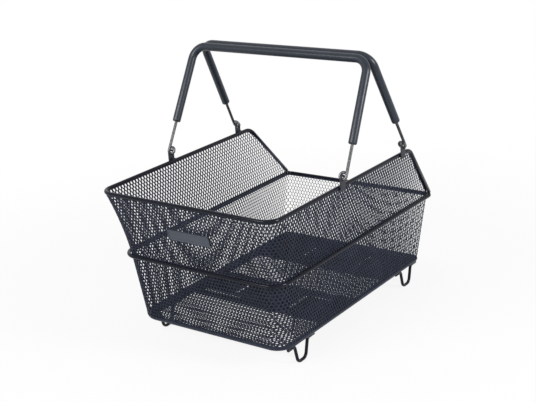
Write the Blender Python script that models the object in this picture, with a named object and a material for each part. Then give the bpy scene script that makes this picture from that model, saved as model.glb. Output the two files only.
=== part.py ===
"""Mesh carrier basket with a low rear end, two folding carrying handles and four wire feet.

X runs across the basket, Y from the tall front end to the low rear end, and Z up from the ground.
All sizes are in metres. The origin is on the ground, under the middle of the basket.
"""

import math

import bmesh
import bpy
from mathutils import Matrix, Vector

# Clearance between pieces that touch on the real basket
GAP = 0.0003

# Overall sizes, over the wires
LENGTH = 0.4736
WIDTH = 0.322
BASE_HEIGHT = 0.034
RING_HEIGHT = 0.146
RIM_HEIGHT = 0.2505

# Wires
RIM_WIRE = 0.006
RING_WIRE = 0.006
FOOT_WIRE = 0.005
HANDLE_WIRE = 0.0046

# Tub of mesh: how far the walls flare out below and above the ring, how much of the upper flare is left
# to the curve under the rim, and the tub's corners
LOWER_SIDE_FLARE = 0.0050
UPPER_SIDE_FLARE = 0.0155
LOWER_FRONT_FLARE = 0.0123
UPPER_FRONT_FLARE = 0.0240
LOWER_REAR_FLARE = 0.0233
FLARE_CURVE = 0.4
FLOOR_BEND_RADIUS = 0.0065
FRONT_CORNER_FLOOR = 0.029
FRONT_CORNER_RING = 0.0235
FRONT_CORNER_RIM = 0.0224
REAR_CORNER_FLOOR = 0.014
REAR_CORNER_RING = 0.006
RING_SLACK = 0.0005

# Honeycomb of the mesh
MESH_THICKNESS = 0.0024
STRAND_WIDTH = 0.004
EDGE_STRIP = 0.005
LOWER_ROWS = 4
UPPER_ROWS = 3
SIDE_COLUMNS = 12
END_COLUMNS = 8
FLOOR_COLUMNS = 7
FLOOR_ROWS = 12

# Sloping ends of the rim, and where on the ring's rear corners they land, in degrees from the side
SLOPE_RUN = 0.0904
SHOULDER_RADIUS = 0.026
SLOPE_LANDING = 30

# Handle tabs
TAB_THICKNESS = 0.0024
TAB_EDGE = 0.003
TAB_TO_SHOULDER = 0.0285
TAB_SPACING = 0.1774
PIVOT_RISE = 0.0125
TAB_FOOT_DROP = 0.006

# Handles and their eyes
HANDLE_REACH = 0.179
FRONT_HANDLE_TAPER = 0.0052
REAR_HANDLE_TAPER = 0.0105
HANDLE_BEND = 0.022
GRIP_MEET_TILT = 8
EYE_PLAY = 0.0011
EYE_CLEARANCE = 0.0009
EYE_MOUTH = 0.0005
GRIP_DIAMETER = 0.0130
GRIP_START = 0.052

# Feet, set in from the edges of the flat floor, their ends turned out along its underside
FOOT_SIDE_INSET = 0.001
FRONT_FOOT_INSET = 0.0465
REAR_FOOT_INSET = 0.030
FOOT_TOP_SPREAD = 0.034
FOOT_BASE_SPREAD = 0.020
FOOT_BEND = 0.009
FOOT_TURN_OUT = 0.017
FOOT_TURN_OUT_BEND = 0.005

# Name plate
PLATE_WIDTH = 0.077
PLATE_HEIGHT = 0.017
PLATE_DEPTH = 0.003
PLATE_CORNER = 0.004
PLATE_BORDER = 0.0015
PLATE_RECESS = 0.0008
PLATE_DROP = 0.050

# Carrier plates under the floor, set in from its edges
CARRIER_THICKNESS = 0.0012
CARRIER_CORNER = 0.006
CARRIER_SIDE_INSET = 0.0045
FRONT_CARRIER_INSET = 0.111
FRONT_CARRIER_LENGTH = 0.098
REAR_CARRIER_INSET = 0.001
REAR_CARRIER_LENGTH = 0.094

# Slits in the carrier plates: side, inset from that side, start from the front edge, size across and along
SLIT_WIDTH = 0.0055
FRONT_CARRIER_SLITS = (
    (-1, 0.0085, 0.018, 0.072, SLIT_WIDTH),
    (1, 0.0205, 0.073, 0.052, SLIT_WIDTH),
    (-1, 0.0615, 0.034, SLIT_WIDTH, 0.034),
    (1, 0.0755, 0.026, SLIT_WIDTH, 0.048),
)
REAR_CARRIER_SLITS = (
    (-1, 0.0685, 0.016, SLIT_WIDTH, 0.066),
    (1, 0.0715, 0.038, SLIT_WIDTH, 0.044),
)

# Sizes that follow from those above
RIM_SIDE = WIDTH / 2 - RIM_WIRE / 2
RIM_FRONT = RIM_WIRE / 2 - LENGTH / 2
RING_STANDOFF = MESH_THICKNESS / 2 + RING_SLACK + RING_WIRE / 2
RING_REAR = LENGTH / 2 - RING_WIRE / 2
WALL_SIDE_AT_RING = RIM_SIDE - UPPER_SIDE_FLARE
WALL_FRONT_AT_RING = RIM_FRONT + UPPER_FRONT_FLARE
WALL_REAR_AT_RING = RING_REAR - RING_STANDOFF
FLOOR_LEVEL = BASE_HEIGHT + MESH_THICKNESS / 2
BEND_TOP = FLOOR_LEVEL + FLOOR_BEND_RADIUS
WALL_TOP = RIM_HEIGHT - RIM_WIRE / 2 - GAP
WALL_ROWS = LOWER_ROWS + UPPER_ROWS
SHOULDER_Y = RING_REAR - SLOPE_RUN
TAB_HOLE = HANDLE_WIRE / 2 + EYE_PLAY
TAB_RADIUS = TAB_HOLE + TAB_EDGE
TAB_SIDE = RIM_SIDE + RIM_WIRE / 2 + GAP + TAB_THICKNESS / 2
PIVOT_HEIGHT = RIM_HEIGHT + PIVOT_RISE
REAR_PIVOT_Y = SHOULDER_Y - TAB_TO_SHOULDER
FRONT_PIVOT_Y = REAR_PIVOT_Y - TAB_SPACING
EYE_SETTLE = EYE_PLAY - GAP
EYE_RADIUS = HANDLE_WIRE / 2 + (TAB_EDGE + EYE_PLAY + EYE_SETTLE + EYE_CLEARANCE) / 2
EYE_RISE = EYE_RADIUS - EYE_SETTLE
BENDS_OF_FLOOR = (-1 / 3, -2 / 3, -1)


def clear_scene():
    for item in list(bpy.data.objects):
        bpy.data.objects.remove(item)


def make_material(name, colour, roughness, metallic):
    material = bpy.data.materials.new(name)
    material.use_nodes = True
    shader = material.node_tree.nodes["Principled BSDF"]
    shader.inputs["Base Color"].default_value = (*colour, 1)
    shader.inputs["Roughness"].default_value = roughness
    shader.inputs["Metallic"].default_value = metallic
    return material


def add_object(name, data, material):
    item = bpy.data.objects.new(name, data)
    bpy.context.scene.collection.objects.link(item)
    data.materials.append(material)
    return item


def add_mesh(name, mesh, material):
    """Closes a bmesh into a mesh object with its faces pointing out."""
    bmesh.ops.recalc_face_normals(mesh, faces=mesh.faces)
    data = bpy.data.meshes.new(name)
    mesh.to_mesh(data)
    mesh.free()
    return add_object(name, data, material)


def blend(start, end, share):
    return start + (end - start) * share


def rounded_path(corners, steps, closed=False):
    """Points along straight runs between corners, each corner given as (point, radius)."""
    points = []
    for index, (corner, radius) in enumerate(corners):
        at_end = index in (0, len(corners) - 1)
        if radius == 0 or (at_end and not closed):
            points.append(corner.copy())
            continue
        to_before = (corners[index - 1][0] - corner).normalized()
        to_after = (corners[(index + 1) % len(corners)][0] - corner).normalized()
        half = to_before.angle(to_after) / 2
        centre = corner + (to_before + to_after).normalized() * (radius / math.sin(half))
        spoke = corner + to_before * (radius / math.tan(half)) - centre
        axis = to_after.cross(to_before)
        for step in range(steps + 1):
            turn = Matrix.Rotation((math.pi - 2 * half) * step / steps, 3, axis)
            points.append(centre + turn @ spoke)
    return points


def wire(name, points, diameter, material, closed=False, sides=8):
    """A round wire along the points."""
    curve = bpy.data.curves.new(name, "CURVE")
    curve.dimensions = "3D"
    curve.fill_mode = "FULL"
    curve.bevel_depth = diameter / 2
    curve.bevel_resolution = sides // 2 - 2
    curve.use_fill_caps = not closed
    spline = curve.splines.new("POLY")
    spline.points.add(len(points) - 1)
    for slot, point in zip(spline.points, points):
        slot.co = (*point, 1)
    spline.use_cyclic_u = closed
    spline.use_smooth = True
    return add_object(name, curve, material)


def as_mesh(item):
    """The same piece as a closed mesh, for a Boolean."""
    name = item.name
    material = item.data.materials[0]
    view = bpy.context.evaluated_depsgraph_get()
    data = bpy.data.meshes.new_from_object(item.evaluated_get(view))
    mesh = bmesh.new()
    mesh.from_mesh(data)
    bmesh.ops.remove_doubles(mesh, verts=mesh.verts, dist=1e-6)
    bpy.data.objects.remove(item)
    bpy.data.meshes.remove(data)
    return add_mesh(name, mesh, material)


def sheet(name, outlines, thickness, material):
    """A flat plate in its own XY plane, from an outline and the holes in it, centred on its thickness."""
    curve = bpy.data.curves.new(name, "CURVE")
    curve.dimensions = "2D"
    curve.fill_mode = "BOTH"
    curve.extrude = thickness / 2
    for outline in outlines:
        spline = curve.splines.new("POLY")
        spline.points.add(len(outline) - 1)
        for slot, (x, y) in zip(spline.points, outline):
            slot.co = (x, y, 0, 1)
        spline.use_cyclic_u = True
    return add_object(name, curve, material)


def arc(centre_x, centre_y, radius, start, end, steps):
    """Points on an arc, with its angles in degrees."""
    points = []
    for step in range(steps + 1):
        angle = math.radians(blend(start, end, step / steps))
        points.append((centre_x + radius * math.cos(angle), centre_y + radius * math.sin(angle)))
    return points


def rectangle(x0, x1, y0, y1, radius=0.0, steps=4):
    if radius == 0:
        return [(x0, y0), (x1, y0), (x1, y1), (x0, y1)]
    return (
        arc(x1 - radius, y0 + radius, radius, -90, 0, steps)
        + arc(x1 - radius, y1 - radius, radius, 0, 90, steps)
        + arc(x0 + radius, y1 - radius, radius, 90, 180, steps)
        + arc(x0 + radius, y0 + radius, radius, 180, 270, steps)
    )


class Station:
    """The tub's outline at one row of the mesh: rows -1 to 0 are the floor's bend, LOWER_ROWS is the ring."""

    def __init__(self, row):
        lower = min(max(row, 0) / LOWER_ROWS, 1)
        upper = max(row - LOWER_ROWS, 0) / UPPER_ROWS
        turn = max(-row, 0) * math.pi / 2
        inset = FLOOR_BEND_RADIUS * (1 - math.cos(turn))
        self.z = blend(blend(BEND_TOP, RING_HEIGHT, lower), WALL_TOP, upper)
        self.z -= FLOOR_BEND_RADIUS * math.sin(turn)
        rise = (1 - lower, blend(upper, upper ** 2, FLARE_CURVE))
        self.side = WALL_SIDE_AT_RING - LOWER_SIDE_FLARE * rise[0] + UPPER_SIDE_FLARE * rise[1] - inset
        self.front = WALL_FRONT_AT_RING + LOWER_FRONT_FLARE * rise[0] - UPPER_FRONT_FLARE * rise[1] + inset
        self.rear = WALL_REAR_AT_RING - LOWER_REAR_FLARE * rise[0] - inset
        front_corner = blend(blend(FRONT_CORNER_FLOOR, FRONT_CORNER_RING, lower), FRONT_CORNER_RIM, upper)
        self.front_corner = front_corner - inset
        self.rear_corner = blend(REAR_CORNER_FLOOR, REAR_CORNER_RING, lower) - inset
        self.side_start = self.front + self.front_corner + GAP / 2
        self.side_end = min(self.rear - self.rear_corner, slope_edge(self.z)) - GAP / 2


def shoulder():
    """The corner where the rim's right-hand side turns down towards the low end."""
    return Vector((RIM_SIDE, SHOULDER_Y, RIM_HEIGHT))


def slope_foot():
    """The cut end of the right-hand sloping wire, on top of the ring's rounded rear corner."""
    radius = REAR_CORNER_RING + RING_STANDOFF
    landing = math.radians(SLOPE_LANDING)
    x = WALL_SIDE_AT_RING + RING_STANDOFF - radius * (1 - math.cos(landing))
    y = RING_REAR - radius * (1 - math.sin(landing))
    ring_top = Vector((x, y, RING_HEIGHT + RING_WIRE / 2))
    steepness = (ring_top - shoulder()).normalized().z
    ring_top.z += RIM_WIRE / 2 * math.sqrt(1 - steepness ** 2) + GAP
    return ring_top


def slope_edge(z):
    """How far back the side mesh reaches at a height, under the sloping wire and its rounded shoulder."""
    along = slope_foot() - shoulder()
    turn = math.atan2(-along.z, along.y)
    inside = RIM_WIRE / 2 + GAP
    shoulder_start = SHOULDER_Y - SHOULDER_RADIUS * math.tan(turn / 2)
    above_centre = z - (RIM_HEIGHT - SHOULDER_RADIUS)
    radius = SHOULDER_RADIUS - inside
    if above_centre > radius * math.cos(turn):
        return shoulder_start + math.sqrt(max(radius ** 2 - above_centre ** 2, 0))
    return SHOULDER_Y + (RIM_HEIGHT - z) / math.tan(turn) - inside / math.sin(turn)


def side_place(side):
    def place(share, row):
        station = Station(row)
        return Vector((side * station.side, blend(station.side_start, station.side_end, share), station.z))

    return place


def front_place(share, row):
    station = Station(row)
    reach = station.side - station.front_corner - GAP / 2
    return Vector((blend(-reach, reach, share), station.front, station.z))


def rear_place(share, row):
    station = Station(row)
    reach = station.side - station.rear_corner - GAP / 2
    return Vector((blend(-reach, reach, share), station.rear, station.z))


def front_corner_place(side):
    def place(share, row):
        station = Station(row)
        radius = station.front_corner
        margin = GAP / 2 / radius
        angle = blend(margin, math.pi / 2 - margin, share)
        across = station.side - radius + radius * math.sin(angle)
        return Vector((side * across, station.front + radius - radius * math.cos(angle), station.z))

    return place


def rear_corner_place(side):
    def place(share, row):
        station = Station(row)
        radius = station.rear_corner
        margin = GAP / 2 / radius
        angle = blend(margin, math.pi / 2 - margin, share)
        across = station.side - radius + radius * math.sin(angle)
        return Vector((side * across, station.rear - radius + radius * math.cos(angle), station.z))

    return place


def floor_place(share, row):
    edge = Station(-1)
    reach = edge.side - GAP
    y = blend(edge.front + GAP, edge.rear - GAP, row / FLOOR_ROWS)
    return Vector((blend(-reach, reach, share), y, FLOOR_LEVEL))


def surface_normal(place, share, row):
    step = 0.001
    across = place(share + step, row) - place(share - step, row)
    upward = place(share, row + step) - place(share, row - step)
    return across.cross(upward).normalized()


def honeycomb_cells(columns, rows, keep_middles):
    """Each cell's corner points, as (half column, row line), anticlockwise from its lower left."""
    cells = []
    for row in range(rows):
        shifted = row % 2
        spans = [(start, start + 2) for start in range(shifted, 2 * columns - 1, 2)]
        if shifted:
            spans += [(0, 1), (2 * columns - 1, 2 * columns)]
        for left, right in spans:
            every = list(range(left, right + 1))
            straight = every if keep_middles else [left, right]
            below = straight if row == 0 else every
            above = straight if row == rows - 1 else every
            cells.append([(i, row) for i in below] + [(i, row + 1) for i in reversed(above)])
    return cells


def inset_loop(points, widths):
    """Corners of the loop after each side, from one point to the next, has moved in by its width."""
    moved = []
    for index, point in enumerate(points):
        before = (point - points[index - 1]).normalized()
        after = (points[(index + 1) % len(points)] - point).normalized()
        width_before, width_after = widths[index - 1], widths[index]
        turn = before.x * after.y - before.y * after.x
        if abs(turn) < 1e-6:
            moved.append(point + Vector((-before.y, before.x)) * width_before)
        else:
            moved.append(point + (after * width_before - before * width_after) / turn)
    return moved


def honeycomb(
    name, place, columns, rows, size, material, straight_rows=(), bend=(), cuts=(0, 0), curved=False
):
    """A sheet of open honeycomb with a solid edge strip, on the surface that place(share, row) gives.

    Its strands have a ridge on both faces, as stretched metal has. size is the sheet's rough width and
    height, straight_rows are the row lines without a zigzag, bend holds the rows of a solid strip below
    the first row, and cuts are the corners taken off the first and last row.
    """
    width, height = size
    row_height = height / rows
    straight_rows = {0, rows, *straight_rows}
    last = 2 * columns

    def flat_point(half, line):
        zigzag = 0 if line in straight_rows else (1 if (half + line) % 2 == 0 else -1) / 6
        point = Vector((half / last * width, (line + zigzag) * row_height))
        if half in (0, last) and line in (0, rows):
            cut = cuts[0] if line == 0 else cuts[1]
            point += Vector((cut if half == 0 else -cut, cut if line == 0 else -cut))
        return point

    def on_edge(first, second):
        sides = ((0, 0), (0, last), (1, 0), (1, rows))
        return any(first[axis] == second[axis] == value for axis, value in sides)

    mesh = bmesh.new()
    ridges = {}

    def ridge(key, share, row):
        if key not in ridges:
            point = place(share, row)
            lift = surface_normal(place, share, row) * (MESH_THICKNESS / 2)
            ridges[key] = (mesh.verts.new(point + lift), mesh.verts.new(point - lift))
        return ridges[key]

    def strip(first, second, third, fourth):
        """Both faces of a solid piece of sheet between four ridge points."""
        mesh.faces.new([pair[0] for pair in (first, second, third, fourth)])
        mesh.faces.new([pair[1] for pair in (fourth, third, second, first)])

    def close(first, second):
        mesh.faces.new((first[0], first[1], second[1], second[0]))

    for cell in honeycomb_cells(columns, rows, curved):
        corners = [flat_point(half, line) for half, line in cell]
        pairs = list(zip(cell, cell[1:] + cell[:1]))
        widths = [EDGE_STRIP if on_edge(*pair) else STRAND_WIDTH / 2 for pair in pairs]
        hole = [
            mesh.verts.new(place(point.x / width, point.y / row_height))
            for point in inset_loop(corners, widths)
        ]
        rims = [ridge(key, point.x / width, point.y / row_height) for key, point in zip(cell, corners)]
        for index, pair in enumerate(pairs):
            after = (index + 1) % len(cell)
            mesh.faces.new((rims[index][0], rims[after][0], hole[after], hole[index]))
            mesh.faces.new((rims[after][1], rims[index][1], hole[index], hole[after]))
            below = pair[0][1] == pair[1][1] == 0
            if on_edge(*pair) and not (below and bend):
                close(rims[index], rims[after])

    halves = range(0, last + 1, 1 if curved else 2)
    above = [ridges[(half, 0)] for half in halves]
    for row in bend:
        under = [ridge((half, row), half / last, row) for half in halves]
        for index in range(len(above) - 1):
            strip(under[index], under[index + 1], above[index + 1], above[index])
        close(above[0], under[0])
        close(under[-1], above[-1])
        above = under
    if bend:
        for first, second in zip(above, above[1:]):
            close(second, first)
    return add_mesh(name, mesh, material)


def build_tub(material):
    ring = Station(LOWER_ROWS)
    base = Station(-1)
    lower_height = RING_HEIGHT - BEND_TOP
    wall_height = WALL_TOP - BEND_TOP
    fold = (LOWER_ROWS,)
    end_width = 2 * (ring.side - ring.front_corner)
    side_length = ring.side_end - ring.side_start
    honeycomb(
        "front_wall_mesh", front_place, END_COLUMNS, WALL_ROWS, (end_width, wall_height), material,
        straight_rows=fold, bend=BENDS_OF_FLOOR,
    )
    honeycomb(
        "rear_wall_mesh", rear_place, END_COLUMNS, LOWER_ROWS, (end_width, lower_height), material,
        bend=BENDS_OF_FLOOR,
    )
    for word, side in (("left", -1), ("right", 1)):
        honeycomb(
            f"{word}_wall_mesh", side_place(side), SIDE_COLUMNS, WALL_ROWS,
            (side_length, wall_height), material, straight_rows=fold, bend=BENDS_OF_FLOOR,
        )
        honeycomb(
            f"front_{word}_corner_mesh", front_corner_place(side), 1, WALL_ROWS,
            (ring.front_corner * math.pi / 2, wall_height), material,
            straight_rows=fold, bend=BENDS_OF_FLOOR, curved=True,
        )
        honeycomb(
            f"rear_{word}_corner_mesh", rear_corner_place(side), 1, LOWER_ROWS,
            (blend(base.rear_corner, ring.rear_corner, 0.5) * math.pi, lower_height), material,
            bend=BENDS_OF_FLOOR, curved=True,
        )
    corner_cut = 1 - math.sqrt(0.5)
    honeycomb(
        "floor_mesh", floor_place, FLOOR_COLUMNS, FLOOR_ROWS,
        (2 * base.side, base.rear - base.front), material,
        cuts=(base.front_corner * corner_cut + GAP, base.rear_corner * corner_cut + GAP),
    )


def build_rim(material):
    front = Vector((RIM_SIDE, RIM_FRONT, RIM_HEIGHT))
    right = [(slope_foot(), 0), (shoulder(), SHOULDER_RADIUS), (front, FRONT_CORNER_RIM)]
    mirror = Vector((-1, 1, 1))
    left = [(point * mirror, radius) for point, radius in reversed(right)]
    wire("rim_wire", rounded_path(right + left, 6), RIM_WIRE, material)


def build_ring(material):
    ring = Station(LOWER_ROWS)
    side = ring.side + RING_STANDOFF
    front = ring.front - RING_STANDOFF
    front_radius = ring.front_corner + RING_STANDOFF
    rear_radius = ring.rear_corner + RING_STANDOFF
    corners = [
        (Vector((-side, front, RING_HEIGHT)), front_radius),
        (Vector((side, front, RING_HEIGHT)), front_radius),
        (Vector((side, RING_REAR, RING_HEIGHT)), rear_radius),
        (Vector((-side, RING_REAR, RING_HEIGHT)), rear_radius),
    ]
    wire("ring_wire", rounded_path(corners, 6, closed=True), RING_WIRE, material, closed=True)


def build_foot(name, x, y, material):
    """A bent wire that stands on the ground, its ends turned out under the floor's edge."""
    base = FOOT_WIRE / 2
    top = BASE_HEIGHT - GAP - FOOT_WIRE / 2
    turned_out = FOOT_TOP_SPREAD / 2 + FOOT_TURN_OUT
    profile = [
        (-turned_out, top, 0),
        (-FOOT_TOP_SPREAD / 2, top, FOOT_TURN_OUT_BEND),
        (-FOOT_BASE_SPREAD / 2, base, FOOT_BEND),
        (FOOT_BASE_SPREAD / 2, base, FOOT_BEND),
        (FOOT_TOP_SPREAD / 2, top, FOOT_TURN_OUT_BEND),
        (turned_out, top, 0),
    ]
    corners = [(Vector((x, y + along, height)), radius) for along, height, radius in profile]
    wire(name, rounded_path(corners, 4), FOOT_WIRE, material)


def build_tab(name, side, pivot_y, material):
    """A strap outside the rim wire, with a round top about the hole that the handle's eye passes through."""
    foot = -PIVOT_RISE - TAB_FOOT_DROP
    outline = [(-TAB_RADIUS, foot), (TAB_RADIUS, foot)] + arc(0, 0, TAB_RADIUS, 0, 180, 10)
    hole = arc(0, 0, TAB_HOLE / math.cos(math.pi / 12), 0, 330, 11)
    tab = sheet(name, (outline, hole), TAB_THICKNESS, material)
    tab.rotation_euler = (math.pi / 2, 0, math.pi / 2)
    tab.location = (side * TAB_SIDE, pivot_y, PIVOT_HEIGHT)


def handle_leans():
    """How far the front and rear handles lean inwards from upright, so that their grips lie side by side."""
    spacing = GRIP_DIAMETER + GAP
    tilt = math.radians(GRIP_MEET_TILT)
    across = TAB_SPACING - spacing * math.cos(tilt)
    rise = spacing * math.sin(tilt)
    mean = math.asin(math.hypot(across, rise) / (2 * HANDLE_REACH))
    offset = math.atan2(rise, across)
    return mean + offset, mean - offset


def eye_points(side):
    """The bent eye at the foot of a handle's leg, from its cut end to where the leg starts."""
    mouth = EYE_RADIUS - HANDLE_WIRE / 2 - EYE_MOUTH
    bend = arc(0, EYE_RISE, EYE_RADIUS, 90, 360, 10)
    flat = [(mouth, EYE_RISE + EYE_RADIUS)] + bend
    return [Vector((side * (TAB_SIDE + x), 0, z)) for x, z in flat]


def build_handle(name, pivot_y, lean, taper, wire_material, grip_material):
    pivot = bpy.data.objects.new(f"{name}_pivot", None)
    bpy.context.scene.collection.objects.link(pivot)
    pivot.location = (0, pivot_y, PIVOT_HEIGHT)
    pivot.rotation_euler = (lean, 0, 0)

    leg_foot = Vector((TAB_SIDE + EYE_RADIUS, 0, EYE_RISE))
    leg_top = Vector((TAB_SIDE + EYE_RADIUS - taper, 0, HANDLE_REACH))
    grip_foot = blend(leg_foot, leg_top, (GRIP_START - EYE_RISE) / (HANDLE_REACH - EYE_RISE))
    mirror = Vector((-1, 1, 1))
    corners = [(leg_top, HANDLE_BEND), (leg_top * mirror, HANDLE_BEND)]

    bail = rounded_path([(leg_foot, 0)] + corners + [(leg_foot * mirror, 0)], 6)
    left_eye = list(reversed(eye_points(-1)))
    body = wire(f"{name}_wire", eye_points(1) + bail[1:-1] + left_eye, HANDLE_WIRE, wire_material)
    body.parent = pivot

    path = rounded_path([(grip_foot, 0)] + corners + [(grip_foot * mirror, 0)], 6)
    overrun = (grip_foot - leg_top).normalized() * GRIP_DIAMETER
    bore_path = [path[0] + overrun] + path[1:-1] + [path[-1] + overrun * mirror]
    bore_width = HANDLE_WIRE + 2 * GAP / math.cos(math.pi / 8)
    grip = as_mesh(wire(f"{name}_grip", path, GRIP_DIAMETER, grip_material, sides=12))
    bore = as_mesh(wire(f"{name}_bore", bore_path, bore_width, grip_material))
    bore.hide_render = True
    bore.display_type = "WIRE"
    grip.parent = pivot
    bore.parent = pivot
    cut = grip.modifiers.new("bore", "BOOLEAN")
    cut.object = bore
    cut.operation = "DIFFERENCE"


def build_name_plate(material):
    """A bare plate with a raised border on the upper half of the front wall."""
    height = RIM_HEIGHT - PLATE_DROP
    row = LOWER_ROWS + UPPER_ROWS * (height - RING_HEIGHT) / (WALL_TOP - RING_HEIGHT)
    outward = surface_normal(front_place, 0.5, row)
    mesh = bmesh.new()
    outline = rectangle(-PLATE_WIDTH / 2, PLATE_WIDTH / 2, -PLATE_HEIGHT / 2, PLATE_HEIGHT / 2, PLATE_CORNER)
    back = mesh.faces.new([mesh.verts.new((x, y, 0)) for x, y in outline])
    raised = bmesh.ops.extrude_face_region(mesh, geom=[back])["geom"]
    front = next(piece for piece in raised if isinstance(piece, bmesh.types.BMFace))
    bmesh.ops.translate(mesh, verts=front.verts, vec=(0, 0, PLATE_DEPTH))
    bmesh.ops.inset_region(mesh, faces=[front], thickness=PLATE_BORDER)
    bmesh.ops.translate(mesh, verts=front.verts, vec=(0, 0, -PLATE_RECESS))
    plate = add_mesh("name_plate", mesh, material)
    across = Vector((1, 0, 0))
    turn = Matrix((across, outward.cross(across), outward)).transposed().to_4x4()
    plate.matrix_world = turn
    plate.location = front_place(0.5, row) + outward * (MESH_THICKNESS / 2 + GAP)


def build_carrier_plate(name, start, length, slits, material):
    """A flat plate under the floor, cut through by its slits."""
    reach = Station(-1).side - CARRIER_SIDE_INSET
    outlines = [rectangle(-reach, reach, start, start + length, CARRIER_CORNER)]
    for side, inset, slit_start, across, along in slits:
        outer = side * (reach - inset)
        inner = side * (reach - inset - across)
        low, high = sorted((outer, inner))
        outlines.append(rectangle(low, high, start + slit_start, start + slit_start + along))
    plate = sheet(name, outlines, CARRIER_THICKNESS, material)
    plate.location.z = BASE_HEIGHT - GAP - CARRIER_THICKNESS / 2


def main():
    clear_scene()
    coat = make_material("black_coat", (0.020, 0.022, 0.026), 0.45, 0.0)
    steel = make_material("grey_steel", (0.16, 0.17, 0.18), 0.40, 0.6)
    foam = make_material("slate_grip", (0.060, 0.068, 0.075), 0.70, 0.0)
    badge = make_material("slate_plate", (0.10, 0.11, 0.12), 0.45, 0.0)

    build_tub(coat)
    build_rim(coat)
    build_ring(coat)
    build_name_plate(badge)

    floor = Station(-1)
    foot_side = floor.side - FOOT_SIDE_INSET
    ends = (
        ("front", floor.front + FRONT_FOOT_INSET, FRONT_PIVOT_Y),
        ("rear", floor.rear - REAR_FOOT_INSET, REAR_PIVOT_Y),
    )
    for end, foot_y, pivot_y in ends:
        for word, side in (("left", -1), ("right", 1)):
            build_foot(f"{end}_{word}_foot", side * foot_side, foot_y, coat)
            build_tab(f"{end}_{word}_tab", side, pivot_y, steel)

    front_lean, rear_lean = handle_leans()
    build_handle("front_handle", FRONT_PIVOT_Y, -front_lean, FRONT_HANDLE_TAPER, steel, foam)
    build_handle("rear_handle", REAR_PIVOT_Y, rear_lean, REAR_HANDLE_TAPER, steel, foam)

    front_start = floor.front + FRONT_CARRIER_INSET
    rear_start = floor.rear - REAR_CARRIER_INSET - REAR_CARRIER_LENGTH
    build_carrier_plate("front_carrier_plate", front_start, FRONT_CARRIER_LENGTH, FRONT_CARRIER_SLITS, coat)
    build_carrier_plate("rear_carrier_plate", rear_start, REAR_CARRIER_LENGTH, REAR_CARRIER_SLITS, coat)


main()
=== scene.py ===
import math
from functools import lru_cache

import bpy
import numpy as np
from mathutils import Matrix, Vector


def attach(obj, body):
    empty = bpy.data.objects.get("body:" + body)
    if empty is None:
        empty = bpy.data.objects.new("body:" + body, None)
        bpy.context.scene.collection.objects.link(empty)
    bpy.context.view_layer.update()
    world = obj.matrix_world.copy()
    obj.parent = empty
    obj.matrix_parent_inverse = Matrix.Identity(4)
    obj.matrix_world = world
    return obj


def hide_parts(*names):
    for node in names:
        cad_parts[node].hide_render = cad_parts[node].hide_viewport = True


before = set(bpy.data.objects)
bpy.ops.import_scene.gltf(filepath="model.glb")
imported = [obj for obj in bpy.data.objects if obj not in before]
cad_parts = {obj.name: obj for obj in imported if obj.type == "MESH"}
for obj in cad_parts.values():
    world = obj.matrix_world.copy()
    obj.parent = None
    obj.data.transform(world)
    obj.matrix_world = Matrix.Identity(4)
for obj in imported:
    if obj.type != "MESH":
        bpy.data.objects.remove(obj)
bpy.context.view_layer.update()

# The tub, as in the CAD model, in metres and degrees
LENGTH = 0.4736
WIDTH = 0.322
BASE_HEIGHT = 0.034
RING_HEIGHT = 0.146
RIM_HEIGHT = 0.2505
RIM_WIRE = 0.006
RING_WIRE = 0.006
FOOT_WIRE = 0.005
HANDLE_WIRE = 0.0046
GAP = 0.0003
CAD_THICKNESS = 0.0024
LOWER_SIDE_FLARE = 0.0050
UPPER_SIDE_FLARE = 0.0155
LOWER_FRONT_FLARE = 0.0123
UPPER_FRONT_FLARE = 0.0240
LOWER_REAR_FLARE = 0.0233
FLARE_CURVE = 0.4
FLOOR_BEND_RADIUS = 0.0065
FRONT_CORNER_FLOOR = 0.029
FRONT_CORNER_RING = 0.0235
FRONT_CORNER_RIM = 0.0224
REAR_CORNER_FLOOR = 0.014
REAR_CORNER_RING = 0.006
RING_SLACK = 0.0005
SLOPE_RUN = 0.0904
SHOULDER_RADIUS = 0.026
SLOPE_LANDING = 30

# The honeycomb at its real pitch
PITCH = 0.00606
ROW_PITCH = 0.0054
FRONT_STRAND = Vector((0.0018, 0.0010, 0.0018))
REAR_STRAND = Vector((0.0008, 0.0004, 0.0006))
LEFT_CURVE = 2
RIGHT_CURVE = 4
FLOOR_STRAND = Vector((0.0015, 0.0011, 0.0013))
LOWER_SLANT = 0.30
UPPER_SLANT = 0.25
STRAND_CROWN = 0.8
ZIGZAG = 1 / 6
ROUNDING = 0.27
SMALLEST_OPENING = 0.12
LATTICE_TOLERANCE = 1e-3
PARALLEL_TOLERANCE = 1e-6
NORMAL_STEP = 0.02
LOWER_ROWS = 19
UPPER_ROWS = 19
WALL_ROWS = LOWER_ROWS + UPPER_ROWS
FRONT_COLUMNS = 41
FRONT_CORNER_COLUMNS = 6
SIDE_COLUMNS = 67
REAR_CORNER_COLUMNS = 2
REAR_COLUMNS = 44
FLOOR_COLUMNS = 43
FLOOR_ROWS = 73
RIM_STRIP = 0.0005
RING_STRIP = 0.0026
SLOPE_STRIP = 0.0040
SLOPE_OVERLAP = 0.0030
FOLD_STRIP = 0.0006
FLOOR_STRIP = 0.0080
BEND_STEPS = 6

# Which part of a honeycomb a face belongs to
OUTER, INNER, EDGE, OPENING = range(4)

# The honeycomb's flat map, as shares of the picture that is baked
MAP_SIZE = (0.48, 0.98)
MAP_MARGIN = 0.01
MAP_INNER_SHIFT = 0.5
MAP_TURN_OUT = 0.0015

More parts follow.
